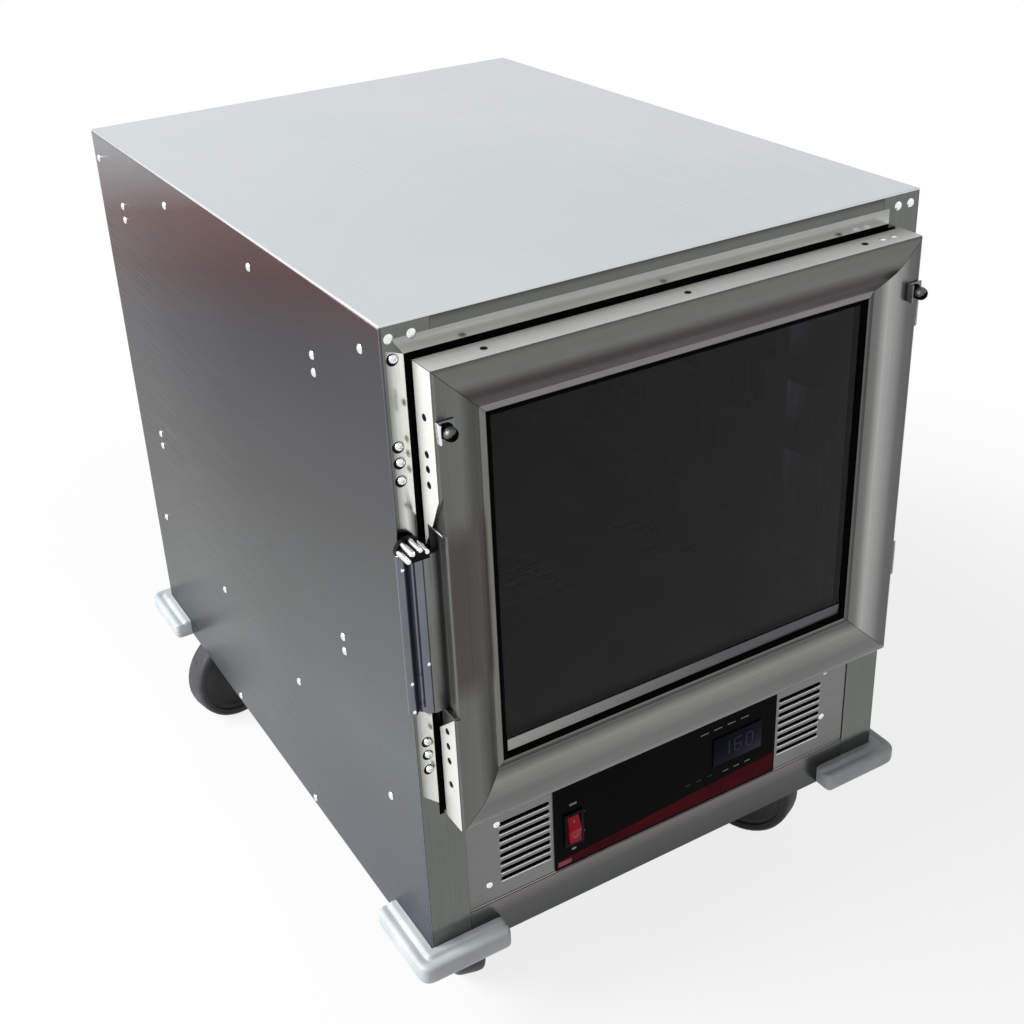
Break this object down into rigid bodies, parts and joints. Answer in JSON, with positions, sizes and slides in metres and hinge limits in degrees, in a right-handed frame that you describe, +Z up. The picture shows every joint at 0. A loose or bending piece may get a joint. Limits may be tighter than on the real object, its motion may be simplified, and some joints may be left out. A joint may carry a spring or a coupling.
{
  "type": "food holding cabinet",
  "caption": "Insulated aluminium food holding cabinet on swivel casters, with a glazed swing door, a lever latch, pan racks and a heating module with a switch below",
  "frame": {"origin": "on the floor, under the middle of the cabinet's box", "axes": "+Z up, -Y out of the door, +X to the right of someone who faces the door"},
  "size_m": [0.592, 0.8084, 0.782],
  "materials": {
    "satin_aluminium": "fine satin grain",
    "polished_aluminium": "bright, low grain",
    "mill_aluminium": "dull mill finish",
    "anodised_aluminium": "satin anodised",
    "mineral_wool": "matte fibre",
    "grey_rubber": "moulded, low sheen",
    "dark_glass": "dark tint, polished",
    "black_rubber": "matte",
    "chrome": "bright plate",
    "grey_casting": "grey die casting",
    "black_plastic": "fine texture",
    "red_plastic": "gloss, lit from behind",
    "tinted_lens": "smooth tint",
    "dark_steel": "dark oxide",
    "zinc_steel": "bright zinc",
    "caster_tyre": "matte"
  },
  "bodies": {
    "cabinet": {"top_outer_panel": "satin_aluminium", "left_outer_panel": "satin_aluminium", "right_outer_panel": "satin_aluminium", "back_outer_panel": "satin_aluminium", "base_pan": "satin_aluminium", "chamber_floor": "mill_aluminium", "left_liner": "mill_aluminium", "right_liner": "mill_aluminium", "back_liner": "mill_aluminium", "ceiling_liner": "mill_aluminium", "insulation_jacket": "mineral_wool", "left_front_post": "polished_aluminium", "right_front_post": "polished_aluminium", "top_front_rail": "polished_aluminium", "middle_front_rail": "polished_aluminium", "bottom_front_rail": "polished_aluminium", "left_pan_rack": "mill_aluminium", "right_pan_rack": "mill_aluminium", "upper_hinge_frame_leaf": "polished_aluminium", "lower_hinge_frame_leaf": "polished_aluminium", "latch_strike": "chrome", "module_front_panel": "satin_aluminium", "control_panel": "black_plastic", "rocker_bezel": "black_plastic", "display_window": "tinted_lens", "module_tray": "mill_aluminium", "controller_box": "black_plastic", "heating_element": "dark_steel", "fan_motor": "dark_steel", "power_inlet": "black_plastic", "corner_bumper_front_left": "grey_rubber", "corner_bumper_front_right": "grey_rubber", "corner_bumper_rear_left": "grey_rubber", "corner_bumper_rear_right": "grey_rubber", "caster_plate_front_left": "zinc_steel", "caster_plate_front_right": "zinc_steel", "caster_plate_rear_left": "zinc_steel", "caster_plate_rear_right": "zinc_steel"},
    "door": {"door_top_member": "anodised_aluminium", "door_bottom_member": "anodised_aluminium", "door_left_member": "anodised_aluminium", "door_right_member": "anodised_aluminium", "window_pane": "dark_glass", "door_gasket": "black_rubber", "door_stud_left": "black_rubber", "door_stud_right": "black_rubber", "upper_hinge_door_leaf": "polished_aluminium", "lower_hinge_door_leaf": "polished_aluminium", "latch_base": "grey_casting"},
    "latch_lever": {"latch_lever": "chrome"},
    "power_rocker": {"power_rocker": "red_plastic"},
    "fan": {"fan_wheel": "mill_aluminium"},
    "swivel_front_left": {"caster_yoke_front_left": "zinc_steel"},
    "wheel_front_left": {"caster_wheel_front_left": "caster_tyre"},
    "swivel_front_right": {"caster_yoke_front_right": "zinc_steel"},
    "wheel_front_right": {"caster_wheel_front_right": "caster_tyre"},
    "swivel_rear_left": {"caster_yoke_rear_left": "zinc_steel"},
    "wheel_rear_left": {"caster_wheel_rear_left": "caster_tyre"},
    "swivel_rear_right": {"caster_yoke_rear_right": "zinc_steel"},
    "wheel_rear_right": {"caster_wheel_rear_right": "caster_tyre"}
  },
  "joints": [
    {"name": "door_hinge", "type": "hinge", "parent": "cabinet", "child": "door", "pos_m": [0.2565, -0.36125, 0.5275], "axis": [0, 0, 1], "range_deg": [0, 115]},
    {"name": "latch_pivot", "type": "hinge", "parent": "door", "child": "latch_lever", "pos_m": [-0.242, -0.37275, 0.5185], "axis": [0, 0, 1], "range_deg": [0, 30], "stiffness_Nm_per_rad": 0.25},
    {"name": "power_switch", "type": "hinge", "parent": "cabinet", "child": "power_rocker", "pos_m": [-0.115, -0.35485, 0.221], "axis": [1, 0, 0], "range_deg": [0, 16]},
    {"name": "fan_spin", "type": "hinge", "parent": "cabinet", "child": "fan", "pos_m": [0, -0.05525, 0.2675], "axis": [0, 0, 1], "continuous": true},
    {"name": "swivel_front_left", "type": "hinge", "parent": "cabinet", "child": "swivel_front_left", "pos_m": [-0.201, -0.27525, 0.14], "axis": [0, 0, 1], "continuous": true},
    {"name": "roll_front_left", "type": "hinge", "parent": "swivel_front_left", "child": "wheel_front_left", "pos_m": [-0.19324, -0.24627, 0.0635], "axis": [-0.9659, 0.2588, 0], "continuous": true},
    {"name": "swivel_front_right", "type": "hinge", "parent": "cabinet", "child": "swivel_front_right", "pos_m": [0.201, -0.27525, 0.14], "axis": [0, 0, 1], "continuous": true},
    {"name": "roll_front_right", "type": "hinge", "parent": "swivel_front_right", "child": "wheel_front_right", "pos_m": [0.1888, -0.24784, 0.0635], "axis": [-0.9135, -0.4067, 0], "continuous": true},
    {"name": "swivel_rear_left", "type": "hinge", "parent": "cabinet", "child": "swivel_rear_left", "pos_m": [-0.201, 0.30325, 0.14], "axis": [0, 0, 1], "continuous": true},
    {"name": "roll_rear_left", "type": "hinge", "parent": "swivel_rear_left", "child": "wheel_rear_left", "pos_m": [-0.23034, 0.29701, 0.0635], "axis": [0.2079, -0.9781, 0], "continuous": true},
    {"name": "swivel_rear_right", "type": "hinge", "parent": "cabinet", "child": "swivel_rear_right", "pos_m": [0.201, 0.30325, 0.14], "axis": [0, 0, 1], "continuous": true},
    {"name": "roll_rear_right", "type": "hinge", "parent": "swivel_rear_right", "child": "wheel_rear_right", "pos_m": [0.2169, 0.32869, 0.0635], "axis": [-0.848, 0.5299, 0], "continuous": true}
  ]
}
